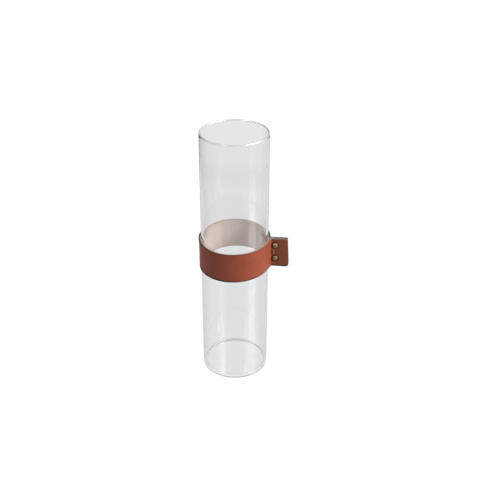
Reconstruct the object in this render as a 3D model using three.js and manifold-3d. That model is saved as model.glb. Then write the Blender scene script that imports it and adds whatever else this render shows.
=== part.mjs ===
// A straight clear-glass vase with a leather strap.
// One strip of leather goes round the glass. Its two ends fold outwards and lie face to face as a short tab,
// and two double-cap rivets, one above the other, hold the ends together close to the fold.
// Millimetres and degrees. The origin is the centre of the underside, +Z runs up the axis of the glass,
// and +X runs out along the tab.

import * as THREE from 'three';
import { mergeVertices } from 'three/addons/utils/BufferGeometryUtils.js';
import Module from 'manifold-3d';

// Glass
const vaseHeight = 350;
const vaseDiameter = 90;
const wallThickness = 2.5;
const baseThickness = 4.5;
const heelRadius = 1;
const floorCornerRadius = 2.5;

// Strap, as a flat strip and as it lies round the glass
const strapWidth = 41;
const leatherThickness = 2.3;
const strapMidHeight = 180.9;
const strapClearance = 0.3;
const layerClearance = 0.3;

// Its two ends: the front one is folded tightly, the back one more loosely and nearer to the glass
const frontLeavesAngle = 20.4;
const frontFoldRadius = 0.6;
const backLeavesAngle = 10;
const backFoldRadius = 2;

// The strap sits a little askew: it climbs towards the tab and towards the back
const climbToTabAngle = 1.3;
const climbToBackAngle = 3.2;

// Tab, from the front fold to its free end, which is cut out of square so that its lower corner reaches furthest
const tabLength = 22.9;
const tabEndSlant = 2;
const tabTopCornerRadius = 1.2;
const tabBottomCornerRadius = 3;

// Rivets
const rivetCapDiameter = 9;
const rivetCapHeight = 2.5;
const rivetRimHeight = 0.7;
const rivetPostDiameter = 3.2;
const rivetSocketDepth = 1.5;
const rivetTopDistance = 9.8;
const rivetSpacing = 19;
const rivetFoldOverlap = 0.3;
const rivetSeatClearance = 0.2;
const rivetPostClearance = 0.3;

// Facets
const glassSides = 96;
const wrapSteps = 72;
const foldSteps = 6;
const bridgeSteps = 4;
const cornerSteps = 6;
const rimSteps = 10;
const rivetSides = 28;
const domeSteps = 6;
const drillSides = 24;

const wasm = await Module();
wasm.setup();

const radians = THREE.MathUtils.degToRad;

// Points of an arc, turning anticlockwise where the second angle is the larger one
function arc(centreX, centreY, radius, from, to, steps) {
  const curve = new THREE.EllipseCurve(centreX, centreY, radius, radius, from, to, to < from);
  return curve.getPoints(steps);
}

function solidFrom(geometry) {
  const bare = geometry.clone();
  bare.deleteAttribute('normal');
  bare.deleteAttribute('uv');
  const merged = mergeVertices(bare);
  const vertProperties = Float32Array.from(merged.attributes.position.array);
  const triVerts = Uint32Array.from(merged.index.array);
  return new wasm.Manifold(new wasm.Mesh({ numProp: 3, vertProperties, triVerts }));
}

function geometryFrom(solid) {
  const mesh = solid.getMesh();
  const geometry = new THREE.BufferGeometry();
  geometry.setAttribute('position', new THREE.BufferAttribute(mesh.vertProperties, 3));
  geometry.setIndex(new THREE.BufferAttribute(mesh.triVerts, 1));
  geometry.computeVertexNormals();
  return geometry;
}

// The glass: a straight tube on a flat base, with a fully rounded rim
function glassGeometry() {
  const outer = vaseDiameter / 2;
  const inner = outer - wallThickness;
  const lip = wallThickness / 2;
  const profile = [
    new THREE.Vector2(0, 0),
    ...arc(outer - heelRadius, heelRadius, heelRadius, -Math.PI / 2, 0, cornerSteps),
    ...arc(outer - lip, vaseHeight - lip, lip, 0, Math.PI, rimSteps),
    ...arc(
      inner - floorCornerRadius, baseThickness + floorCornerRadius, floorCornerRadius,
      0, -Math.PI / 2, cornerSteps,
    ),
    new THREE.Vector2(0, baseThickness),
  ];
  return new THREE.LatheGeometry(profile, glassSides).rotateX(Math.PI / 2);
}

// The strap seen from above: round the glass, straight off it at both ends, then folded out along +X
const wrapOutside = vaseDiameter / 2 + strapClearance + leatherThickness;
const tabHalfThickness = layerClearance / 2 + leatherThickness;

// The axis of an end's fold, taken on the +Y side, from the angle at which that end leaves the glass
function strapEnd(leavesAngle, foldRadius) {
  const leaves = radians(leavesAngle);
  const foldY = tabHalfThickness + foldRadius;
  const foldX = (wrapOutside + foldRadius - foldY * Math.sin(leaves)) / Math.cos(leaves);
  return { leaves, foldRadius, foldX, foldY };
}

const frontEnd = strapEnd(frontLeavesAngle, frontFoldRadius);
const backEnd = strapEnd(backLeavesAngle, backFoldRadius);
const tabEndX = frontEnd.foldX + tabLength;

// One face of one end, from the tab's free end to the glass; depth is how far in from the outer face it lies
function endFace({ leaves, foldRadius, foldX, foldY }, depth) {
  const faceFold = foldRadius + depth;
  const wrapRadius = wrapOutside - depth;
  const bend = arc(foldX, foldY, faceFold, -Math.PI / 2, leaves - Math.PI, foldSteps);
  const leavesAt = new THREE.Vector2(wrapRadius * Math.cos(leaves), wrapRadius * Math.sin(leaves));
  const bridge = [];
  for (let i = 1; i < bridgeSteps; i += 1) {
    bridge.push(bend[foldSteps].clone().lerp(leavesAt, i / bridgeSteps));
  }
  return [new THREE.Vector2(tabEndX, foldY - faceFold), ...bend, ...bridge];
}

// One face of the whole strip, from the back layer's free end round to the front layer's
function stripFace(depth) {
  const front = endFace(frontEnd, depth).map((point) => new THREE.Vector2(point.x, -point.y));
  const wrap = arc(0, 0, wrapOutside - depth, backEnd.leaves, 2 * Math.PI - frontEnd.leaves, wrapSteps);
  return [...endFace(backEnd, depth), ...wrap, ...front.reverse()];
}

// Side view of the strap, which trims the free end of the tab: x along the tab, y up the width
function tabEndOutline() {
  const halfWidth = strapWidth / 2;
  const slant = Math.atan(tabEndSlant / strapWidth);
  const topX = tabEndX - tabEndSlant;
  const farSide = -2 * wrapOutside;
  const topTurn = tabTopCornerRadius / Math.tan(Math.PI / 4 + slant / 2);
  const bottomTurn = tabBottomCornerRadius / Math.tan(Math.PI / 4 - slant / 2);
  const outline = new THREE.Shape();
  outline.moveTo(farSide, -halfWidth);
  outline.lineTo(tabEndX - bottomTurn, -halfWidth);
  outline.absarc(
    tabEndX - bottomTurn, tabBottomCornerRadius - halfWidth, tabBottomCornerRadius,
    -Math.PI / 2, slant, false,
  );
  outline.absarc(
    topX - topTurn, halfWidth - tabTopCornerRadius, tabTopCornerRadius,
    slant, Math.PI / 2, false,
  );
  outline.lineTo(farSide, halfWidth);
  return outline;
}

// Carries the level strap, whose middle is at z = 0, to its place on the glass, a little askew
const toPlace = new THREE.Matrix4()
  .makeTranslation(0, 0, strapMidHeight)
  .multiply(new THREE.Matrix4().makeShear(
    0, Math.tan(radians(climbToTabAngle)), 0, Math.tan(radians(climbToBackAngle)), 0, 0,
  ));

// The two rivets go through the tab along Y; each centre is halfway through the two layers
const rivetX = frontEnd.foldX - rivetFoldOverlap + rivetCapDiameter / 2;
const upperRivetZ = strapWidth / 2 - rivetTopDistance;
const rivetCentres = {
  upper: new THREE.Vector3(rivetX, 0, upperRivetZ).applyMatrix4(toPlace),
  lower: new THREE.Vector3(rivetX, 0, upperRivetZ - rivetSpacing).applyMatrix4(toPlace),
};
const rivetSeat = tabHalfThickness + rivetSeatClearance;

// The strip is cut from the plan, trimmed at the tab's end, put in place and drilled for the rivets
function strapGeometry() {
  const outside = stripFace(0);
  const inside = stripFace(leatherThickness);
  const plan = new THREE.Shape([...outside, ...inside.reverse()]);
  const strip = new THREE.ExtrudeGeometry(plan, { depth: strapWidth, bevelEnabled: false });
  strip.translate(0, 0, -strapWidth / 2);
  const trimDepth = 4 * wrapOutside;
  const trim = new THREE.ExtrudeGeometry(
    tabEndOutline(), { depth: trimDepth, bevelEnabled: false, curveSegments: cornerSteps },
  );
  trim.rotateX(Math.PI / 2);
  trim.translate(0, trimDepth / 2, 0);
  const level = geometryFrom(solidFrom(strip).intersect(solidFrom(trim)));

  let strap = solidFrom(level.applyMatrix4(toPlace));
  const holeRadius = rivetPostDiameter / 2 + rivetPostClearance;
  const drillLength = 4 * tabHalfThickness;
  for (const centre of Object.values(rivetCentres)) {
    const drill = new THREE.CylinderGeometry(holeRadius, holeRadius, drillLength, drillSides);
    drill.translate(centre.x, centre.y, centre.z);
    strap = strap.subtract(solidFrom(drill));
  }
  return geometryFrom(strap);
}

// Half of the outline that both rivet heads share: the rim, and the dome up to the axis
function domeOutline() {
  const radius = rivetCapDiameter / 2;
  const domeHeight = rivetCapHeight - rivetRimHeight;
  const crown = new THREE.EllipseCurve(
    0, rivetSeat + rivetRimHeight, radius, domeHeight, 0, Math.PI / 2, false,
  );
  return [new THREE.Vector2(radius, rivetSeat), ...crown.getPoints(domeSteps)];
}

// The cap in front: a dome over a flat seat, with the socket that the post is driven into
function rivetCapGeometry() {
  const socketRadius = rivetPostDiameter / 2 + rivetPostClearance;
  const socketTop = rivetSeat + rivetSocketDepth;
  const profile = [
    new THREE.Vector2(0, socketTop),
    new THREE.Vector2(socketRadius, socketTop),
    new THREE.Vector2(socketRadius, rivetSeat),
    ...domeOutline(),
  ];
  return new THREE.LatheGeometry(profile, rivetSides).rotateX(Math.PI);
}

// The back: the same dome, with the post that runs through both layers into the cap's socket
function rivetPostGeometry() {
  const postRadius = rivetPostDiameter / 2;
  const postEnd = -(rivetSeat + rivetSocketDepth - rivetPostClearance);
  const profile = [
    new THREE.Vector2(0, postEnd),
    new THREE.Vector2(postRadius, postEnd),
    new THREE.Vector2(postRadius, rivetSeat),
    ...domeOutline(),
  ];
  return new THREE.LatheGeometry(profile, rivetSides);
}

const clearGlass = new THREE.MeshStandardMaterial({ color: 0xe4e9ea, roughness: 0.05, metalness: 0 });
const tanLeather = new THREE.MeshStandardMaterial({ color: 0x99553e, roughness: 0.55, metalness: 0 });
const agedBrass = new THREE.MeshStandardMaterial({ color: 0x7c654a, roughness: 0.4, metalness: 1 });

function named(name, geometry, material) {
  const mesh = new THREE.Mesh(geometry, material);
  mesh.name = name;
  return mesh;
}

const vase = new THREE.Group();
vase.add(named('glass_vase', glassGeometry(), clearGlass));
vase.add(named('leather_strap', strapGeometry(), tanLeather));
for (const [place, centre] of Object.entries(rivetCentres)) {
  const rivet = new THREE.Group();
  rivet.position.copy(centre);
  rivet.add(named(`${place}_rivet_cap`, rivetCapGeometry(), agedBrass));
  rivet.add(named(`${place}_rivet_post`, rivetPostGeometry(), agedBrass));
  vase.add(rivet);
}

export default vase;
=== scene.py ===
"""Looks of a tall glass cylinder vase with a riveted leather strap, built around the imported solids.

Every piece is modelled in metres in the frame of the solids: +Z up the glass, +X out along the tab.
"""

import math

import bmesh
import bpy
from bpy.props import FloatProperty, FloatVectorProperty, IntProperty, PointerProperty
from mathutils import Matrix, Vector


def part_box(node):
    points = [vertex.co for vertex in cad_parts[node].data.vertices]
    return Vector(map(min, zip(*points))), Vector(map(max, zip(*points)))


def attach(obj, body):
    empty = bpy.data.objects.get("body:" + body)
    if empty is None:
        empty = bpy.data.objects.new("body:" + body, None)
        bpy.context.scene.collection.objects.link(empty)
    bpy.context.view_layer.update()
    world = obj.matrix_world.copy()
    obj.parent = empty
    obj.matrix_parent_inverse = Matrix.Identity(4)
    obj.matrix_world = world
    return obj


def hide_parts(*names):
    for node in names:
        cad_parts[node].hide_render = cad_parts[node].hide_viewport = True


bl_info = {
    "name": "Strapped Glass Vase",
    "version": (1, 0, 0),
    "blender": (4, 5, 0),
    "location": "3D View > Sidebar > Vase",
    "description": "Builds a glass cylinder vase, its riveted leather strap and a white studio",
    "category": "Object",
}

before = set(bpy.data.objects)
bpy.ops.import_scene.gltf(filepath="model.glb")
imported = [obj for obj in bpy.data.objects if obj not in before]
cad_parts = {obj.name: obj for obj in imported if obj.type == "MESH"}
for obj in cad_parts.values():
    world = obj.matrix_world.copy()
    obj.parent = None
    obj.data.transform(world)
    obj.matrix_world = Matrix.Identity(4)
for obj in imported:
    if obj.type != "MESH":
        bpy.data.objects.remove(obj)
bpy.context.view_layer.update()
GLASS_LOW, GLASS_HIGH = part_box("glass_vase")
STRAP_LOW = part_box("leather_strap")[0]

MM = 0.001
MERGE = 1e-6
UP = Vector((0, 0, 1))
FRONT, BACK = -1, 1

# Order of the materials on the glass
WALL, RIM, FOOT, CORNER, RING = range(5)

# Steps of the rounded corners, of the sweep along the strap and of the caps
CORNER_STEPS = 6
LIP_STEPS = 8
STRAP_CUTS = 41
WRAP_STEPS = 80
BRIDGE_STEPS = 8
FOLD_STEPS = 10
TAB_STEPS = 28
CUT_EDGE_STEPS = 3
DOME_STEPS = 12
CAP_RIM_STEPS = 5
CAP_SEAT_STEPS = 3

# The lip's rounding as a share of the wall, just under half so that its two sides don't meet
LIP_ROUND = 0.49

# The tab: where it begins, how far the rivets hold its layers together, and the swelling between them
TAB_BLEND = 6 * MM
LIFT_BEFORE_FOLD = 4 * MM
RIVET_HOLD = 6.5 * MM
BULGE_OUT = 1.5 * MM
BULGE_LENGTH = 1.2 * MM
BULGE_HEIGHT = 3.6 * MM
CUT_EDGE_ANGLE = math.radians(50)

# The caps: places as shares of the radius, the groove's level and the roundings as shares of the rim
CAP_GROOVE = 0.83
CAP_PATINA_FROM = 0.7
CAP_GROOVE_LEVEL = 0.8
CAP_ROUND = 0.3
CAP_CREASE_ANGLE = math.radians(40)

# Marks on the leather, each from where it begins to where it ends, in from an edge or out from a rivet
EDGE_RUB = (0.2 * MM, 1.2 * MM)
# Painted shade, together with burnish, along the strap's lower edge
LOW_EDGE_RUB_AND_SHADE = (1.2 * MM, 2.2 * MM)
# Painted shade, together with burnish, along the lower cut edge
LOW_CUT_RUB_AND_SHADE = (0.5 * MM, 1.5 * MM)
# Darker flesh towards the lower edge
LOW_FLESH_DARKER = (0.3 * MM, 1.8 * MM)
# Painted shadow on the flesh under the upper edge where it stands off the glass
GAP_SHADE_DEPTH = (6 * MM, 14 * MM)
# Painted shadow on the grain round the rivets' caps
CAP_SHADE_REACH = (4.9 * MM, 6.2 * MM)
# The same along X
TOWARDS_TAB = (10 * MM, 40 * MM)
MIDDLE_TO_TAB = (-10 * MM, 40 * MM)
LEFT_TO_MIDDLE = (-45 * MM, 10 * MM)
# Painted light on the flesh towards the tab
PAINTED_LIGHT_SPAN = (-25 * MM, 20 * MM)
GAP_SHADE_LEFT = (-34 * MM, -44 * MM)
# Darker cut edges on the left at the back, and near the tab's end
DARK_CUT_LEFT = (-15 * MM, -35 * MM)
DARK_CUT_RIGHT = (34 * MM, 42 * MM)
# The same along Y
FROM_BACK = (22 * MM, 10 * MM)
FRONT_TO_BACK_LAYER = (-0.2 * MM, 0.2 * MM)
# The same out through a cut edge, as shares of the leather
DYE_DEPTH = (0.45, 0.75)

# How far the glass is turned from the eye where its painted edge-on shade begins and where it is full
WALL_EDGE_ON = (0.42, 0.52)
RIM_EDGE_ON = (0.1, 0.5)
RIM_ROUGHNESS = 0.35

# The camera's sensor, in millimetres
SENSOR = 36

# The floor, in metres from the vase, with the bands that show in the glass and in reflections
FLOOR_HALF = 8
FLOOR_CELLS = 8
FLOOR_GREY = (0.62, 0.62, 0.62, 1)
FLOOR_EDGE_Y = 0.63
FLOOR_EDGE_BLUR = (0.02, 0.07)
FLOOR_EDGE_SHADE = 0.935
FLOOR_BEHIND = (0.5, 0.62)
FLOOR_BEHIND_LEFT = (0.02, -0.04)
FLOOR_LEFT = (-0.44, -0.56)
FLOOR_RIGHT = (0.44, 0.56)
FLOOR_RIGHT_SHADE = 0.5
FLOOR_REACH = (0.2, 1.4)
NEAR_LEVEL, FAR_LEVEL = 1.12, 1.2
FLOOR_GLOW = 0.85
FLOOR_NEAR_GLOW = 0.25

# The colour sockets of a Mix node
MIX_FIRST, MIX_SECOND, MIX_RESULT = 6, 7, 2


def length(name, description, default):
    return FloatProperty(
        name=name, description=description, default=default, min=0, unit="LENGTH", precision=5
    )


def angle(name, description, degrees):
    return FloatProperty(name=name, description=description, default=math.radians(degrees), subtype="ANGLE")


def colour(name, description, default):
    return FloatVectorProperty(
        name=name, description=description, default=default, size=3, min=0, max=1, subtype="COLOR"
    )


def count(name, description, default):
    return IntProperty(name=name, description=description, default=default, min=1)


def amount(name, description, default):
    return FloatProperty(name=name, description=description, default=default, min=0, soft_max=1)


def refraction(name, description, default):
    return FloatProperty(name=name, description=description, default=default, min=1, soft_max=5)


def power(name, description, default):
    return FloatProperty(name=name, description=description, default=default, min=0, unit="POWER")


class VaseGlassSettings(bpy.types.PropertyGroup):
    """Sizes and finish of the glass"""

    height: length("Height", "From the table to the rim", GLASS_HIGH.z)
    diameter: length("Diameter", "Across the outside of the wall", GLASS_HIGH.x - GLASS_LOW.x)
    wall: length("Wall", "Thickness of the wall", 2.5 * MM)
    base: length("Base", "Thickness of the closed base", 4.5 * MM)
    heel: length("Heel", "Outside radius between base and wall", 1 * MM)
    floor_corner: length("Floor corner", "Inside radius between wall and floor", 2.5 * MM)
    ring: length("Foot ring", "Height of the dark ring round the foot", 2.2 * MM)
    sides: count("Sides", "Facets round the wall", 288)
    tint: colour("Tint", "Colour of light that has gone through one wall", (0.965, 0.965, 0.965))
    low_tint: colour("Low tint", "The same near the base", (0.96, 0.965, 0.975))
    # Painted shade: the wall's tint darkens where it is seen edge on
    edge_on_shade: colour("Edge tint", "The same where the wall is seen edge on", (0.915, 0.915, 0.915))
    # Painted shade: a dark line round the inside corner of the base
    corner_shade: colour("Corner tint", "The same in the corner of the inside", (0.62, 0.62, 0.62))
    # Painted shade: the dark ring round the foot
    ring_shade: colour("Ring tint", "The same through the dark ring", (0.3, 0.3, 0.3))
    foot_tint: colour("Foot tint", "The same through the underside", (0.95, 0.95, 0.95))
    rim_tint: colour("Rim tint", "Crest of the fire-polished rim", (0.62, 0.62, 0.62))
    # Painted shade: the rim greys towards its sides, where it is seen edge on
    rim_side_shade: colour("Rim sides", "Sides of the rim, seen edge on", (0.58, 0.58, 0.58))
    passing: colour("Passing", "Light that goes straight through one surface", (0.995, 0.995, 0.995))
    ior: refraction("IOR", "Index of refraction", 1.5)
    foot_ior: refraction("Foot IOR", "Index of refraction of the underside on the table", 1)
    rim_ior: refraction("Rim IOR", "Higher index for the light that the rim turns back", 4)


class VaseStrapSettings(bpy.types.PropertyGroup):
    """Sizes and finish of the leather strap"""

    width: length("Width", "Across the strap", 41 * MM)
    leather: length("Leather", "Thickness of the leather", 2.3 * MM)
    middle: length("Middle height", "Height of the strap's middle on the glass", 180.9 * MM)
    clearance: length("Clearance", "Gap between strap and glass", 0.3 * MM)
    layer_gap: length("Layer gap", "Gap between the two layers of the tab at the rivets", 0.3 * MM)
    front_fold: length("Front fold", "Radius where the front end turns into the tab", 0.6 * MM)
    back_fold: length("Back fold", "Radius where the back end turns into the tab", 2 * MM)
    front_leaves: angle("Front leaves", "Angle from the tab at which the front end leaves the glass", 20.4)
    back_leaves: angle("Back leaves", "Angle from the tab at which the back end leaves the glass", 10)
    tab_climb: angle("Climb to tab", "Climb of the strap towards its tab", 1.3)
    back_climb: angle("Climb to back", "Climb of the strap towards its back", 3.2)
    tab: length("Tab", "Length of the tab from its fold, at the lower edge", 22.9 * MM)
    slant: length("Slant", "How much shorter the tab is at its upper edge", 2 * MM)
    top_corner: length("Upper corner", "Radius of the tab's upper corner", 1.2 * MM)
    low_corner: length("Lower corner", "Radius of the tab's lower corner", 4.2 * MM)
    spread: length("Spread", "How far each layer stands off away from the rivets", 0.4 * MM)
    bulge: length("Bulge", "How far the front layer swells between the rivets", 1.4 * MM)
    flare: length("Flare", "How far the upper edge stands off the glass opposite the tab", 0.6 * MM)
    edge_round: length("Edge round", "Rounding of the cut edges", 0.45 * MM)
    grain: colour("Grain", "Dyed grain side", (0.35, 0.077, 0.036))
    grain_dark: colour("Dark grain", "Darker clouds in the grain", (0.16, 0.034, 0.02))
    # Burnished edges, and painted shade along the lower edges and round the rivets
    burnish_and_shade: colour("Burnish", "Grain rubbed dark along the edges and under the rivets", (0.05, 0.02, 0.016))
    # Darker, greyer grain on the tab
    tab_grain: colour("Handled grain", "Duller grain on the tab, where it is held", (0.26, 0.073, 0.039))
    flesh: colour("Flesh", "Undyed suede inside", (0.66, 0.52, 0.453))
    # Painted light: the flesh is paler towards the tab, standing in for light that the glass throws onto it
    flesh_painted_light: colour("Pale flesh", "The same where it is drawn tight towards the tab", (0.98, 0.83, 0.76))
    # Painted shade between the tab's layers and under the standing-off upper edge, and darker low down
    flesh_dark: colour("Dark flesh", "The same between the tab's layers and low down", (0.3, 0.24, 0.21))
    cut: colour("Cut edge", "Raw fibres on the cut edges", (0.68, 0.56, 0.46))
    # Darker cut edges: on the tab's back layer, near the tab's end and on the left at the back
    cut_dark: colour("Soiled edge", "The same on the tab's back layer", (0.1, 0.082, 0.07))


class VaseRivetSettings(bpy.types.PropertyGroup):
    """Sizes and finish of the rivets"""

    diameter: length("Cap diameter", "Across the rolled rim", 9.4 * MM)
    rim: length("Rim", "Height of the rolled rim", 0.8 * MM)
    sunk: length("Sunk", "How far the caps press into the leather", 0.1 * MM)
    post: length("Post", "Diameter of the post between the caps", 3.2 * MM)
    sides: count("Sides", "Facets round a cap", 64)
    brass: colour("Brass", "Rubbed crown of a cap", (0.3, 0.215, 0.112))
    patina: colour("Patina", "Aged brass towards the rim", (0.11, 0.05, 0.02))


class VaseStudioSettings(bpy.types.PropertyGroup):
    """Camera, light and floor"""

    lens: FloatProperty(name="Lens", description="Focal length", default=65.18, unit="CAMERA")
    camera_at: FloatVectorProperty(
        name="Camera", description="Place of the camera", default=(0.1472, -1.0090, 0.7533), unit="LENGTH"
    )
    camera_turn: FloatVectorProperty(
        name="Camera turn",
        description="Rotation of the camera",
        default=(math.radians(61.32), 0, math.radians(7.9)),
        subtype="EULER",
    )
    key_power: power("Key", "Power of the window light on the right", 103)
    side_power: power("Side", "Power of the high light on the right", 44)
    fill_power: power("Fill", "Power of the soft light on the left", 3.9)
    window_power: power("Window", "Power of the window that is only seen in reflections", 50)
    ambient: amount("Ambient", "Light that comes from all round", 0.12)
    through: amount("Through glass", "Brightness of the surroundings through the glass", 0.76)
    mirrored: amount("Mirrored", "Brightness of the surroundings in reflections", 0.55)
    floor_near: amount("Near floor", "Brightness of the floor round the vase in reflections", 0.9)
    floor_far: amount("Far floor", "The same far off to the sides and behind", 0.0)
    backdrop: colour("Backdrop", "Colour of the floor and of what is behind it", (1, 1, 1))


def set_inputs(node, **values):
    """Sets a node's properties and inputs by name, with _ for a space"""
    for name, value in values.items():
        if hasattr(node, name):
            setattr(node, name, value)
        else:
            node.inputs[name.replace("_", " ")].default_value = value


def add_node(tree, kind, links=None, **values):
    """A node with its properties and inputs set by name, and its inputs linked by name"""
    node = tree.nodes.new(kind)
    set_inputs(node, **values)
    for name, source in (links or {}).items():
        tree.links.new(source, node.inputs[name])
    return node


def feed(tree, value, socket):
    """Gives a socket a link from another one, a plain colour or a number"""
    if isinstance(value, bpy.types.NodeSocket):
        tree.links.new(value, socket)
    elif socket.type == "RGBA":
        socket.default_value = (*value, 1)
    else:
        socket.default_value = value


def blank_material(name):
    material = bpy.data.materials.new(name)
    material.use_nodes = True
    tree = material.node_tree
    return material, tree, tree.nodes["Principled BSDF"]


def coordinates(tree, scale=(1, 1, 1)):
    """Object coordinates in metres, stretched by scale"""
    texture = add_node(tree, "ShaderNodeTexCoord")
    mapping = add_node(tree, "ShaderNodeMapping", {"Vector": texture.outputs["Object"]}, Scale=scale)
    return mapping.outputs["Vector"]


def axes_of(tree, vector):
    """The X, Y and Z of a vector"""
    return add_node(tree, "ShaderNodeSeparateXYZ", {"Vector": vector}).outputs


def size_of(tree, vector):
    return add_node(tree, "ShaderNodeVectorMath", {0: vector}, operation="LENGTH").outputs["Value"]


def attribute(tree, name):
    return add_node(tree, "ShaderNodeAttribute", attribute_name=name).outputs["Fac"]


def edge_on(tree):
    """From 0 where a surface faces the eye to 1 where it is seen along itself"""
    return add_node(tree, "ShaderNodeLayerWeight").outputs["Facing"]


def noise(tree, vector, scale, detail, roughness):
    return add_node(
        tree, "ShaderNodeTexNoise", {"Vector": vector}, Scale=scale, Detail=detail, Roughness=roughness
    ).outputs["Fac"]


def ranged(tree, value, low, high, start=0, end=1):
    """Goes from start to end while a value goes from low to high, and stays there outside that range"""
    node = add_node(tree, "ShaderNodeMapRange", {"Value": value}, From_Min=low, From_Max=high)
    set_inputs(node, To_Min=start, To_Max=end)
    return node.outputs["Result"]


def mixed(tree, factor, first, second):
    """Colour between two, each a plain colour or a socket"""
    node = add_node(tree, "ShaderNodeMix", data_type="RGBA")
    tree.links.new(factor, node.inputs["Factor"])
    feed(tree, first, node.inputs[MIX_FIRST])
    feed(tree, second, node.inputs[MIX_SECOND])
    return node.outputs[MIX_RESULT]


def combined(tree, operation, *values):
    """Math of one or two values, each a number or a socket"""
    node = add_node(tree, "ShaderNodeMath", operation=operation)
    for value, socket in zip(values, node.inputs):
        feed(tree, value, socket)
    return node.outputs["Value"]


def times(tree, first, second):
    return combined(tree, "MULTIPLY", first, second)


def most(tree, first, *others):
    """The largest of several values"""
    for other in others:
        first = combined(tree, "MAXIMUM", first, other)
    return first


def darkened(paint, share):
    return tuple(share * part for part in paint)


def bumped(tree, principled, height, distance, strength):
    bump = add_node(tree, "ShaderNodeBump", {"Height": height}, Distance=distance, Strength=strength)
    tree.links.new(bump.outputs["Normal"], principled.inputs["Normal"])


def let_light_through(tree, principled, passing):
    """Lamps and light from other pieces go straight through the surface, less what it keeps back"""
    path = add_node(tree, "ShaderNodeLightPath")
    through = add_node(tree, "ShaderNodeBsdfTransparent", Color=(*passing, 1)).outputs["BSDF"]
    surface = principled.outputs["BSDF"]
    for ray in ("Is Diffuse Ray", "Is Shadow Ray"):
        mix = add_node(tree, "ShaderNodeMixShader", {"Fac": path.outputs[ray], 1: surface, 2: through})
        surface = mix.outputs["Shader"]
    tree.links.new(surface, tree.nodes["Material Output"].inputs["Surface"])


def make_clear(tree, principled, settings, ior):
    """Turns a material into clear glass of its own base colour"""
    set_inputs(principled, Transmission_Weight=1, Roughness=0, IOR=ior)
    let_light_through(tree, principled, settings.passing)


def plain_glass(name, settings, tint, ior):
    """Clear glass of one tint"""
    material, tree, principled = blank_material(name)
    set_inputs(principled, Base_Color=(*tint, 1))
    make_clear(tree, principled, settings, ior)
    return material


def wall_glass(settings):
    """The wall: clear, cooler towards the base, with painted shade where it is seen edge on"""
    material, tree, principled = blank_material("glass_wall")
    height = axes_of(tree, coordinates(tree))["Z"]
    low = ranged(tree, height, 0, settings.height, start=1, end=0)
    tinted = mixed(tree, low, settings.tint, settings.low_tint)
    # Painted shade on the wall where it is seen edge on
    tinted = mixed(tree, ranged(tree, edge_on(tree), *WALL_EDGE_ON), tinted, settings.edge_on_shade)
    tree.links.new(tinted, principled.inputs["Base Color"])
    make_clear(tree, principled, settings, settings.ior)
    return material


def corner_glass(settings):
    """The inside corner: painted shade, dark for light on its way in, clear for light on its way out"""
    material, tree, principled = blank_material("glass_corner")
    outwards = add_node(tree, "ShaderNodeNewGeometry").outputs["Backfacing"]
    tinted = mixed(tree, outwards, settings.corner_shade, settings.passing)
    tree.links.new(tinted, principled.inputs["Base Color"])
    make_clear(tree, principled, settings, settings.ior)
    return material


def rim_glass(settings):
    """The fire-polished lip: pale along its crest, with painted shade greying it towards both sides"""
    material, tree, principled = blank_material("glass_rim")
    # Painted shade greying the rim towards its edge-on sides
    tinted = mixed(tree, ranged(tree, edge_on(tree), *RIM_EDGE_ON), settings.rim_tint, settings.rim_side_shade)
    tree.links.new(tinted, principled.inputs["Base Color"])
    set_inputs(principled, Roughness=RIM_ROUGHNESS, IOR=settings.rim_ior)
    set_inputs(principled, Subsurface_Weight=1, Subsurface_Radius=(1, 1, 1), Subsurface_Scale=settings.wall)
    let_light_through(tree, principled, settings.passing)
    return material


def grain_leather(settings):
    """Dyed grain side: clouded tan, fine pebbled grain, darker along the burnished edges, with painted shade
    along the lower edge and round the rivets
    """
    material, tree, principled = blank_material("leather_grain")
    place = coordinates(tree)
    along = axes_of(tree, place)["X"]
    on_tab = attribute(tree, "tab")

    clouds = ranged(tree, noise(tree, place, scale=45, detail=4, roughness=0.6), 0.35, 0.7)
    flecks = ranged(tree, noise(tree, place, scale=420, detail=3, roughness=0.6), 0.45, 0.75)
    dark = combined(tree, "ADD", times(tree, clouds, 0.28), times(tree, flecks, 0.12))
    # Darker, greyer grain on the tab
    grain = mixed(tree, on_tab, settings.grain, settings.tab_grain)
    grain = mixed(tree, dark, grain, settings.grain_dark)

    to_edge = combined(tree, "MINIMUM", attribute(tree, "to_top"), attribute(tree, "to_end"))
    edge = ranged(tree, to_edge, *EDGE_RUB, start=0.75, end=0)
    edge = times(tree, edge, ranged(tree, along, *TOWARDS_TAB, start=1, end=0.3))
    # Painted shade with burnish along the lower edge, wider on the shaded left and weaker towards the tab
    narrower = ranged(tree, along, *LEFT_TO_MIDDLE, start=0.5, end=1)
    to_low = times(tree, attribute(tree, "to_low"), narrower)
    low_share = most(tree, ranged(tree, along, *MIDDLE_TO_TAB, start=1, end=0.5), on_tab)
    low_edge_rub_and_shade = times(tree, ranged(tree, to_low, *LOW_EDGE_RUB_AND_SHADE, start=1, end=0), low_share)
    # Painted shadow round the rivets' caps
    cap_shade = ranged(tree, attribute(tree, "to_rivet"), *CAP_SHADE_REACH, start=0.9, end=0)
    rubbed_and_shaded = most(tree, edge, low_edge_rub_and_shade, cap_shade)
    tree.links.new(mixed(tree, rubbed_and_shaded, grain, settings.burnish_and_shade), principled.inputs["Base Color"])

    pebbles = add_node(tree, "ShaderNodeTexVoronoi", {"Vector": place}, feature="SMOOTH_F1", Scale=1500)
    creases = noise(tree, place, scale=700, detail=4, roughness=0.6)
    relief = combined(tree, "ADD", pebbles.outputs["Distance"], times(tree, creases, 0.8))
    bumped(tree, principled, relief, distance=0.12 * MM, strength=0.5)
    gloss = ranged(tree, clouds, 0, 1, start=0.42, end=0.55)
    tree.links.new(most(tree, gloss, times(tree, rubbed_and_shaded, 0.9)), principled.inputs["Roughness"])
    set_inputs(principled, Specular_IOR_Level=0.25)
    return material


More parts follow.
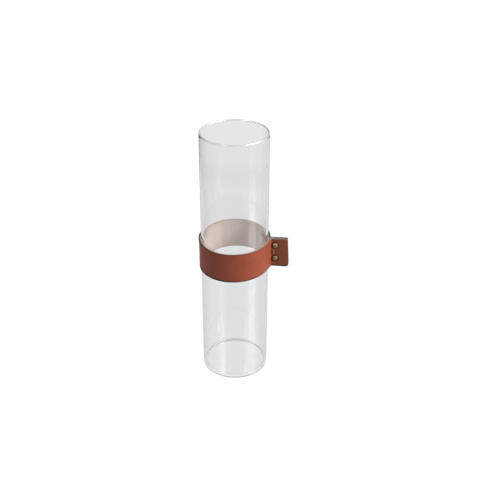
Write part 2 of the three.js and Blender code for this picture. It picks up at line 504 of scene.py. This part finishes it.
def flesh_leather(settings):
    """Suede inside: pale, matt and fibrous, with painted light towards the tab, darker towards the bottom,
    and painted shade between the tab's layers and under the upper edge where it stands off the glass
    """
    material, tree, principled = blank_material("leather_flesh")
    axes = axes_of(tree, coordinates(tree))
    upright = coordinates(tree, (1, 1, 0.6))
    clouds = ranged(tree, noise(tree, upright, scale=60, detail=4, roughness=0.6), 0.3, 0.75)
    fibres = noise(tree, upright, scale=1100, detail=4, roughness=0.7)
    shade = combined(tree, "ADD", times(tree, clouds, 0.25), times(tree, fibres, 0.2))
    # Painted light: the flesh pales towards the tab
    paler = ranged(tree, axes["X"], *PAINTED_LIGHT_SPAN)
    flesh = mixed(tree, paler, settings.flesh, settings.flesh_painted_light)
    darker = mixed(tree, paler, darkened(settings.flesh, 0.7), darkened(settings.flesh_painted_light, 0.7))
    flesh = mixed(tree, shade, flesh, darker)

    # Darker towards the bottom
    to_low = attribute(tree, "to_low")
    downwards = ranged(tree, to_low, 0, settings.width, start=0.14, end=0)
    low = combined(tree, "ADD", downwards, ranged(tree, to_low, *LOW_FLESH_DARKER, start=0.4, end=0))
    # Painted shadow under the upper edge where it stands off the glass, on the left at the back
    gap_shade = ranged(tree, attribute(tree, "to_top"), *GAP_SHADE_DEPTH, start=0.9, end=0)
    gap_shade = times(tree, gap_shade, ranged(tree, axes["X"], *GAP_SHADE_LEFT))
    gap_shade = times(tree, gap_shade, ranged(tree, axes["Y"], *FROM_BACK))
    # Painted shade between the tab's layers, joined with the painted shadow and the darker bottom
    darkening = most(tree, low, gap_shade, attribute(tree, "tab"))
    tree.links.new(mixed(tree, darkening, flesh, settings.flesh_dark), principled.inputs["Base Color"])
    bumped(tree, principled, fibres, distance=0.2 * MM, strength=0.6)
    set_inputs(principled, Roughness=0.95, Specular_IOR_Level=0.2)
    return material


def cut_leather(settings):
    """Cut edges: raw fibres, dyed along the outside, burnished with painted shade along the lower edge,
    darker on the left and towards the tab
    """
    material, tree, principled = blank_material("leather_cut_edge")
    place = coordinates(tree)
    axes = axes_of(tree, place)
    clouds = ranged(tree, noise(tree, place, scale=90, detail=3, roughness=0.6), 0.3, 0.7)
    fibres = noise(tree, place, scale=1600, detail=4, roughness=0.7)
    shade = combined(tree, "ADD", times(tree, clouds, 0.35), times(tree, fibres, 0.3))
    cut = mixed(tree, shade, settings.cut, darkened(settings.cut, 0.5))

    level = add_node(tree, "ShaderNodeCombineXYZ", {"X": axes["X"], "Y": axes["Y"]}).outputs["Vector"]
    inside = GLASS_HIGH.x + settings.clearance
    dye_from, dye_to = (inside + share * settings.leather for share in DYE_DEPTH)
    dyed = ranged(tree, size_of(tree, level), dye_from, dye_to, start=0, end=0.9)
    dyed = times(tree, dyed, ranged(tree, axes["X"], *TOWARDS_TAB, start=1, end=0.2))
    # Painted shade, with burnish, along the lower cut edge
    low = ranged(tree, attribute(tree, "to_low"), *LOW_CUT_RUB_AND_SHADE, start=1, end=0)
    cut = mixed(tree, most(tree, dyed, low), cut, settings.burnish_and_shade)

    # Darker cut edges on the tab's back layer, near the tab's end and on the left at the back
    layer = ranged(tree, axes["Y"], *FRONT_TO_BACK_LAYER, start=0.35, end=1)
    on_tab = times(tree, layer, attribute(tree, "tab"))
    right = times(tree, layer, ranged(tree, axes["X"], *DARK_CUT_RIGHT))
    left = ranged(tree, axes["X"], *DARK_CUT_LEFT, start=0, end=0.8)
    left = times(tree, left, ranged(tree, axes["Y"], *FROM_BACK))
    darkening = most(tree, on_tab, right, left)
    tree.links.new(mixed(tree, darkening, cut, settings.cut_dark), principled.inputs["Base Color"])
    bumped(tree, principled, fibres, distance=0.3 * MM, strength=0.7)
    set_inputs(principled, Roughness=0.8, Specular_IOR_Level=0.05)
    return material


def aged_brass(settings):
    """Antiqued brass: rubbed on the crown, dark in the groove and on the rim"""
    material, tree, principled = blank_material("aged_brass")
    place = coordinates(tree)
    spots = ranged(tree, noise(tree, place, scale=900, detail=4, roughness=0.65), 0.35, 0.7)
    worn = combined(tree, "ADD", attribute(tree, "patina"), times(tree, spots, 0.35))
    tree.links.new(mixed(tree, worn, settings.brass, settings.patina), principled.inputs["Base Color"])
    tree.links.new(ranged(tree, worn, 0, 1, start=0.42, end=0.55), principled.inputs["Roughness"])
    pits = noise(tree, place, scale=1800, detail=3, roughness=0.6)
    bumped(tree, principled, pits, distance=0.04 * MM, strength=0.5)
    set_inputs(principled, Metallic=1)
    return material


def make_piece(bm, name, materials, body, slot, *nodes):
    """Turns a bmesh into a piece that stands for CAD nodes and rides on a body"""
    mesh = bpy.data.meshes.new(name)
    bm.to_mesh(mesh)
    bm.free()
    for material in materials:
        mesh.materials.append(material)
    mesh.shade_smooth()
    piece = bpy.data.objects.new(name, mesh)
    bpy.context.scene.collection.objects.link(piece)
    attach(piece, body)
    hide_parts(*nodes)
    return piece


def chain(bm, points, start=None):
    """Vertices in a row, each joined to the one before it"""
    verts = [start] if start else []
    for point in points:
        vert = bm.verts.new(point)
        if verts:
            bm.edges.new((verts[-1], vert))
        verts.append(vert)
    return verts


def round_corner(bm, vert, radius, segments=CORNER_STEPS):
    bmesh.ops.bevel(
        bm, geom=[vert], offset=radius, offset_type="OFFSET", segments=segments,
        profile=0.5, affect="VERTICES", material=-1,
    )


def turn_on_lathe(bm, sides):
    """Spins an outline in the XZ plane a full turn about Z"""
    bmesh.ops.spin(
        bm, geom=bm.verts[:] + bm.edges[:], cent=(0, 0, 0), axis=UP,
        angle=2 * math.pi, steps=sides, use_merge=True,
    )
    close_up(bm)


def close_up(bm):
    bmesh.ops.remove_doubles(bm, verts=bm.verts, dist=MERGE)
    bmesh.ops.recalc_face_normals(bm, faces=bm.faces)


def glass_mesh(settings):
    """The wall, base and rounded rim, spun from one outline"""
    bm = bmesh.new()
    outer = settings.diameter / 2
    inner = outer - settings.wall
    top = settings.height
    below_lip = top - 2 * settings.wall
    base = settings.base
    corner = settings.floor_corner
    outline = (
        (0, 0), (outer - 2 * settings.heel, 0), (outer, 0), (outer, settings.ring),
        (outer, below_lip), (outer, top), (inner, top), (inner, below_lip),
        (inner, base + 2 * corner), (inner, base), (inner - 2 * corner, base), (0, base),
    )
    verts = chain(bm, [(r, 0, z) for r, z in outline])
    heel, outer_lip, inner_lip, floor_corner = (verts[i] for i in (2, 5, 6, 9))
    round_corner(bm, heel, settings.heel)
    for lip in (outer_lip, inner_lip):
        round_corner(bm, lip, LIP_ROUND * settings.wall, LIP_STEPS)
    round_corner(bm, floor_corner, corner)
    turn_on_lathe(bm, settings.sides)
    for face in bm.faces:
        middle = face.calc_center_median()
        out = middle.xy.length
        if middle.z > top - settings.wall / 2:
            face.material_index = RIM
        elif middle.z < MERGE:
            face.material_index = FOOT
        # Painted shade round the foot of the wall
        elif middle.z < settings.ring and out > inner:
            face.material_index = RING
        # Painted shade in the inside corner of the base
        elif middle.z < base + corner and inner - corner < out < inner:
            face.material_index = CORNER
        else:
            face.material_index = WALL
    return bm


def swing(bm, edges, centre, turn, steps):
    """Carries a row of edges round an upright axis and returns the row it ends at"""
    verts = list({vert for edge in edges for vert in edge.verts})
    made = bmesh.ops.spin(bm, geom=verts + edges, cent=centre, axis=UP, angle=turn, steps=steps)
    return [item for item in made["geom_last"] if isinstance(item, bmesh.types.BMEdge)]


def draw_out(bm, edges, way, steps):
    """Carries a row of edges straight on and returns the row it ends at"""
    for _ in range(steps):
        made = bmesh.ops.extrude_edge_only(bm, edges=edges)["geom"]
        verts = [item for item in made if isinstance(item, bmesh.types.BMVert)]
        bmesh.ops.translate(bm, verts=verts, vec=way / steps)
        moved = set(verts)
        edges = [edge for edge in {e for v in verts for e in v.link_edges} if set(edge.verts) <= moved]
    return edges


def strap_end(settings, side):
    """One end of the strap from above: the angle it leaves the glass at, its fold's radius and axis"""
    leaves, fold = settings.back_leaves, settings.back_fold
    if side == FRONT:
        leaves, fold = settings.front_leaves, settings.front_fold
    aside = settings.layer_gap / 2 + settings.leather + fold
    outside = GLASS_HIGH.x + settings.clearance + settings.leather
    x = (outside + fold - aside * math.sin(leaves)) / math.cos(leaves)
    return leaves, fold, Vector((x, side * aside, 0))


def strap_mesh(settings):
    """The middle of the leather, as one sheet, swept both ways from the far side of the glass"""
    bm = bmesh.new()
    radius = GLASS_HIGH.x + settings.clearance + settings.leather / 2
    half_width = settings.width / 2
    tab_end = strap_end(settings, FRONT)[2].x + settings.tab

    chain(bm, [(-radius, 0, -half_width), (-radius, 0, half_width)])
    bmesh.ops.subdivide_edges(bm, edges=bm.edges[:], cuts=STRAP_CUTS)
    far_row = bm.edges[:]
    for side in (FRONT, BACK):
        leaves, fold, axis = strap_end(settings, side)
        away = Vector((math.cos(leaves), side * math.sin(leaves), 0))
        bridge = axis - (radius + fold + settings.leather / 2) * away
        row = swing(bm, far_row, (0, 0, 0), -side * (math.pi - leaves), WRAP_STEPS)
        row = draw_out(bm, row, bridge, BRIDGE_STEPS)
        row = swing(bm, row, axis, side * (math.pi / 2 - leaves), FOLD_STEPS)
        draw_out(bm, row, Vector((tab_end - axis.x, 0, 0)), TAB_STEPS)
    close_up(bm)
    far = min(bm.faces, key=lambda face: face.calc_center_median().x)
    if far.normal.x > 0:
        bmesh.ops.reverse_faces(bm, faces=bm.faces)

    shape_tab(bm, settings)
    climb = Matrix.Translation((0, 0, settings.middle))
    climb[2][0] = math.tan(settings.tab_climb)
    climb[2][1] = math.tan(settings.back_climb)
    bmesh.ops.transform(bm, matrix=climb, verts=bm.verts)
    return bm


def shape_tab(bm, settings):
    """Notes how far each point is from the edges and rivets, flares the upper edge and forms the tab"""
    half_width = settings.width / 2
    radius = GLASS_HIGH.x
    names = ("tab", "to_top", "to_low", "to_end", "to_rivet")
    tab, to_top, to_low, to_end, to_rivet = (bm.verts.layers.float.new(name) for name in names)
    folds = {side: strap_end(settings, side)[2].x for side in (FRONT, BACK)}
    tab_end = folds[FRONT] + settings.tab
    rivets = [rivet_place(place) for place in ("upper", "lower")]
    between = sum(z for _, z in rivets) / 2
    for vert in bm.verts:
        side = FRONT if vert.co.y < 0 else BACK
        out = vert.co.x - folds[side]
        vert[tab] = max(0.0, min(1.0, out / TAB_BLEND))
        vert[to_top] = half_width - vert.co.z
        vert[to_low] = half_width + vert.co.z
        vert[to_end] = tab_end - vert.co.x
        level = vert.co.z + settings.middle + vert.co.x * math.tan(settings.tab_climb)
        vert[to_rivet] = min(math.hypot(vert.co.x - x, level - z) for x, z in rivets)
        if vert.co.x < 0:
            lean = (vert.co.x / radius) ** 2 * max(0.0, vert.co.z / half_width) ** 2
            vert.co.xy *= 1 + settings.flare * lean / radius
        if out < -LIFT_BEFORE_FOLD:
            continue
        off = settings.spread * (1 - math.exp(-((vert[to_rivet] / RIVET_HOLD) ** 4)))
        if side == FRONT:
            swell = ((out - BULGE_OUT) / BULGE_LENGTH) ** 2 + ((level - between) / BULGE_HEIGHT) ** 2
            off += settings.bulge * math.exp(-swell)
        if out > 0:
            cut_tab_end(vert, settings, folds[side], tab_end)
        vert.co.y += side * off


def cut_tab_end(vert, settings, fold_x, tab_end):
    """Moves a point of the tab to where its slanted end and rounded corners have it"""
    half_width = settings.width / 2
    end = tab_end - vert.co.x
    above = half_width - vert.co.z
    below = half_width + vert.co.z
    shorter = settings.slant * below / settings.width
    vert.co.x -= shorter * (vert.co.x - fold_x) / (tab_end - fold_x)
    for corner, edge, way in ((settings.top_corner, above, 1), (settings.low_corner, below, -1)):
        if end < corner and edge < corner:
            into = Vector((corner - end, corner - edge))
            into *= max(into) / max(into.length, MERGE) - 1
            vert.co.x += into.x
            vert.co.z += way * into.y


def rivet_place(place):
    """(x, z) of a rivet's axis"""
    low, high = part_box(f"{place}_rivet_cap")
    return (low.x + high.x) / 2, (low.z + high.z) / 2


def cap_mesh(settings, height, post_length=0):
    """A domed cap on its flat seat, crown up, with the post below it where it has one"""
    bm = bmesh.new()
    radius = settings.diameter / 2
    groove = CAP_GROOVE * radius
    rise = height - settings.rim
    curve = (groove**2 + rise**2) / (2 * rise)
    crown = bm.verts.new((0, 0, height))
    made = bmesh.ops.spin(
        bm, geom=[crown], cent=(0, 0, height - curve), axis=(0, 1, 0),
        angle=math.asin(groove / curve), steps=DOME_STEPS,
    )
    (shoulder,) = made["geom_last"]
    rim = ((groove, CAP_GROOVE_LEVEL * settings.rim), (radius, settings.rim), (radius, 0))
    under = ((0, 0),)
    if post_length:
        post = settings.post / 2
        under = ((post, 0), (post, -post_length), (0, -post_length))
    _, _, rim_top, rim_foot, *_ = chain(bm, [(r, 0, z) for r, z in (*rim, *under)], shoulder)
    round_corner(bm, rim_top, CAP_ROUND * settings.rim, CAP_RIM_STEPS)
    round_corner(bm, rim_foot, CAP_ROUND * settings.rim, CAP_SEAT_STEPS)
    turn_on_lathe(bm, settings.sides)
    patina = bm.verts.layers.float.new("patina")
    for vert in bm.verts:
        out = vert.co.to_2d().length / radius
        vert[patina] = max(0.0, min(1.0, (out - CAP_PATINA_FROM) / (CAP_GROOVE - CAP_PATINA_FROM)))
    for edge in bm.edges:
        edge.smooth = edge.calc_face_angle(0) < CAP_CREASE_ANGLE
    return bm


class VASE_OT_glass(bpy.types.Operator):
    """Build the glass with its rounded rim and closed base"""

    bl_idname = "vase.glass"
    bl_label = "Build Glass"

    def execute(self, context):
        settings = context.scene.vase_glass
        finishes = {
            WALL: wall_glass(settings),
            RIM: rim_glass(settings),
            FOOT: plain_glass("glass_foot", settings, settings.foot_tint, settings.foot_ior),
            CORNER: corner_glass(settings),
            # The foot ring is glass darkened with painted shade
            RING: plain_glass("glass_ring", settings, settings.ring_shade, settings.ior),
        }
        materials = [finishes[index] for index in sorted(finishes)]
        make_piece(glass_mesh(settings), "vase_glass", materials, "vase", "clear_glass", "glass_vase")
        return {"FINISHED"}


class VASE_OT_strap(bpy.types.Operator):
    """Build the leather strap with its folded tab"""

    bl_idname = "vase.strap"
    bl_label = "Build Strap"

    def execute(self, context):
        settings = context.scene.vase_strap
        materials = [grain_leather(settings), flesh_leather(settings), cut_leather(settings)]
        strap = make_piece(
            strap_mesh(settings), "strap_leather", materials, "band", "tan_leather", "leather_strap"
        )
        thickness = strap.modifiers.new("leather thickness", "SOLIDIFY")
        thickness.thickness = settings.leather
        thickness.offset = 0
        thickness.use_even_offset = True
        thickness.material_offset = 1
        thickness.material_offset_rim = 2
        edges = strap.modifiers.new("rounded edges", "BEVEL")
        edges.width = settings.edge_round
        edges.segments = CUT_EDGE_STEPS
        edges.limit_method = "ANGLE"
        edges.angle_limit = CUT_EDGE_ANGLE
        edges.material = -1
        return {"FINISHED"}


class VASE_OT_rivets(bpy.types.Operator):
    """Build both rivets: a cap in front, and a cap with its post behind"""

    bl_idname = "vase.rivets"
    bl_label = "Build Rivets"

    def execute(self, context):
        settings = context.scene.vase_rivets
        strap = context.scene.vase_strap
        brass = aged_brass(settings)
        seat = strap.layer_gap / 2 + strap.leather - settings.sunk
        for place in ("upper", "lower"):
            x, z = rivet_place(place)
            front = -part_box(f"{place}_rivet_cap")[0].y
            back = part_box(f"{place}_rivet_post")[1].y
            for name, out, post, turn in (
                ("cap", front, 0, math.pi / 2), ("post", back, 2 * seat, -math.pi / 2),
            ):
                bm = cap_mesh(settings, out - seat, post)
                bmesh.ops.translate(bm, verts=bm.verts, vec=(0, 0, seat))
                stand = Matrix.Translation((x, 0, z)) @ Matrix.Rotation(turn, 4, "X")
                bmesh.ops.transform(bm, matrix=stand, verts=bm.verts)
                make_piece(
                    bm, f"{place}_rivet_{name}_brass", [brass], "band", "aged_brass", f"{place}_rivet_{name}"
                )
        return {"FINISHED"}


def soft_light(name, power, size, bearing, height, distance, diffuse=True):
    """A square soft light aimed at the strap, by degrees from the front towards +X and degrees up"""
    lamp = bpy.data.lights.new(name, "AREA")
    lamp.energy = power
    lamp.size = size
    light = bpy.data.objects.new(name, lamp)
    light.visible_diffuse = diffuse
    aside, up = math.radians(bearing), math.radians(height)
    way = Vector((math.sin(aside) * math.cos(up), -math.cos(aside) * math.cos(up), math.sin(up)))
    light.location = Vector((0, 0, STRAP_LOW.z)) + distance * way
    light.rotation_euler = (-way).to_track_quat("-Z", "Y").to_euler()
    bpy.context.scene.collection.objects.link(light)


def by_ray(tree, seen, through, mirrored):
    """One value for what is seen straight, through glass or in a reflection, and 0 for other rays"""
    path = add_node(tree, "ShaderNodeLightPath")
    in_glass = path.outputs["Is Transmission Ray"]
    reflected = combined(tree, "SUBTRACT", path.outputs["Is Glossy Ray"], in_glass)
    value = times(tree, reflected, mirrored)
    for ray, share in ((in_glass, through), (path.outputs["Is Camera Ray"], seen)):
        value = most(tree, value, times(tree, ray, share))
    return value


def white_world(settings):
    """White where it is seen, as bright as the near floor through the glass, and faint as a light"""
    world = bpy.data.worlds.new("white_studio")
    bpy.context.scene.world = world
    world.use_nodes = True
    tree = world.node_tree
    background = tree.nodes["Background"]
    set_inputs(background, Color=(*settings.backdrop, 1))
    glow = by_ray(tree, 1, NEAR_LEVEL * settings.through, settings.mirrored)
    tree.links.new(most(tree, glow, settings.ambient), background.inputs["Strength"])


def floor_paper(settings):
    """Glossy white paper, with its far edge and its dark surroundings where the glass shows them"""
    material, tree, principled = blank_material("floor_paper")
    set_inputs(principled, Base_Color=FLOOR_GREY, Roughness=0.3, Specular_IOR_Level=1)
    set_inputs(principled, Coat_Weight=1, Coat_Roughness=0.1, Coat_IOR=1.6)
    place = coordinates(tree)
    axes = axes_of(tree, place)
    level = ranged(tree, size_of(tree, place), *FLOOR_REACH, start=NEAR_LEVEL, end=FAR_LEVEL)
    to_edge = combined(tree, "ABSOLUTE", combined(tree, "SUBTRACT", axes["Y"], FLOOR_EDGE_Y))
    at_edge = FLOOR_EDGE_SHADE * settings.through
    through = ranged(tree, to_edge, *FLOOR_EDGE_BLUR, start=at_edge, end=settings.through)
    left = ranged(tree, axes["X"], *FLOOR_LEFT)
    right = ranged(tree, axes["X"], *FLOOR_RIGHT, start=0, end=FLOOR_RIGHT_SHADE)
    behind = ranged(tree, axes["Y"], *FLOOR_BEHIND)
    behind_left = times(tree, behind, ranged(tree, axes["X"], *FLOOR_BEHIND_LEFT))
    dark = most(tree, left, right, behind_left)
    mirrored = ranged(tree, dark, 0, 1, start=settings.floor_near, end=settings.floor_far)
    share = ranged(tree, dark, 0, 1, start=FLOOR_NEAR_GLOW, end=FLOOR_GLOW)
    level = times(tree, level, by_ray(tree, 1, through, mirrored))
    glow = add_node(tree, "ShaderNodeEmission", {"Strength": level}, Color=(*settings.backdrop, 1))
    mix = add_node(
        tree, "ShaderNodeMixShader",
        {"Fac": by_ray(tree, FLOOR_GLOW, FLOOR_GLOW, share), 1: principled.outputs["BSDF"]},
    )
    tree.links.new(glow.outputs["Emission"], mix.inputs[2])
    tree.links.new(mix.outputs["Shader"], tree.nodes["Material Output"].inputs["Surface"])
    return material


def white_floor(settings):
    bm = bmesh.new()
    bmesh.ops.create_grid(bm, x_segments=FLOOR_CELLS, y_segments=FLOOR_CELLS, size=FLOOR_HALF)
    mesh = bpy.data.meshes.new("studio_floor")
    bm.to_mesh(mesh)
    bm.free()
    mesh.materials.append(floor_paper(settings))
    floor = bpy.data.objects.new("studio_floor", mesh)
    bpy.context.scene.collection.objects.link(floor)


class VASE_OT_studio(bpy.types.Operator):
    """Set up the camera, the soft lights, the white floor and the world"""

    bl_idname = "vase.studio"
    bl_label = "Set Up Studio"

    def execute(self, context):
        settings = context.scene.vase_studio
        lens = bpy.data.cameras.new("camera")
        lens.lens = settings.lens
        lens.sensor_width = SENSOR
        camera = bpy.data.objects.new("camera", lens)
        camera.location = settings.camera_at
        camera.rotation_euler = settings.camera_turn
        context.scene.collection.objects.link(camera)
        context.scene.camera = camera
        context.scene.view_settings.view_transform = "Standard"
        soft_light("key", settings.key_power, size=1.5, bearing=70, height=30, distance=3.5)
        soft_light("side", settings.side_power, size=1.5, bearing=96, height=50, distance=3.5)
        soft_light("fill", settings.fill_power, size=0.8, bearing=-82, height=40, distance=1.5)
        soft_light(
            "window", settings.window_power, size=0.8, bearing=-35, height=38, distance=3.5, diffuse=False
        )
        white_world(settings)
        white_floor(settings)
        return {"FINISHED"}


BUILD_STEPS = (VASE_OT_studio, VASE_OT_glass, VASE_OT_strap, VASE_OT_rivets)
SETTINGS = {
    "vase_studio": VaseStudioSettings,
    "vase_glass": VaseGlassSettings,
    "vase_strap": VaseStrapSettings,
    "vase_rivets": VaseRivetSettings,
}


class VASE_PT_build(bpy.types.Panel):
    """Lists the steps that build the vase, each with its sizes and colours"""

    bl_idname = "VASE_PT_build"
    bl_label = "Strapped Vase"
    bl_space_type = "VIEW_3D"
    bl_region_type = "UI"
    bl_category = "Vase"

    def draw(self, context):
        for step, (name, group) in zip(BUILD_STEPS, SETTINGS.items()):
            box = self.layout.box()
            box.operator(step.bl_idname)
            for key in group.__annotations__:
                box.prop(getattr(context.scene, name), key)


CLASSES = (*SETTINGS.values(), *BUILD_STEPS, VASE_PT_build)


def register():
    for cls in CLASSES:
        bpy.utils.register_class(cls)
    for name, group in SETTINGS.items():
        setattr(bpy.types.Scene, name, PointerProperty(type=group))


def unregister():
    for name in SETTINGS:
        delattr(bpy.types.Scene, name)
    for cls in reversed(CLASSES):
        bpy.utils.unregister_class(cls)


def main():
    register()
    bpy.ops.vase.studio()
    bpy.ops.vase.glass()
    bpy.ops.vase.strap()
    bpy.ops.vase.rivets()


if __name__ == "__main__":
    main()
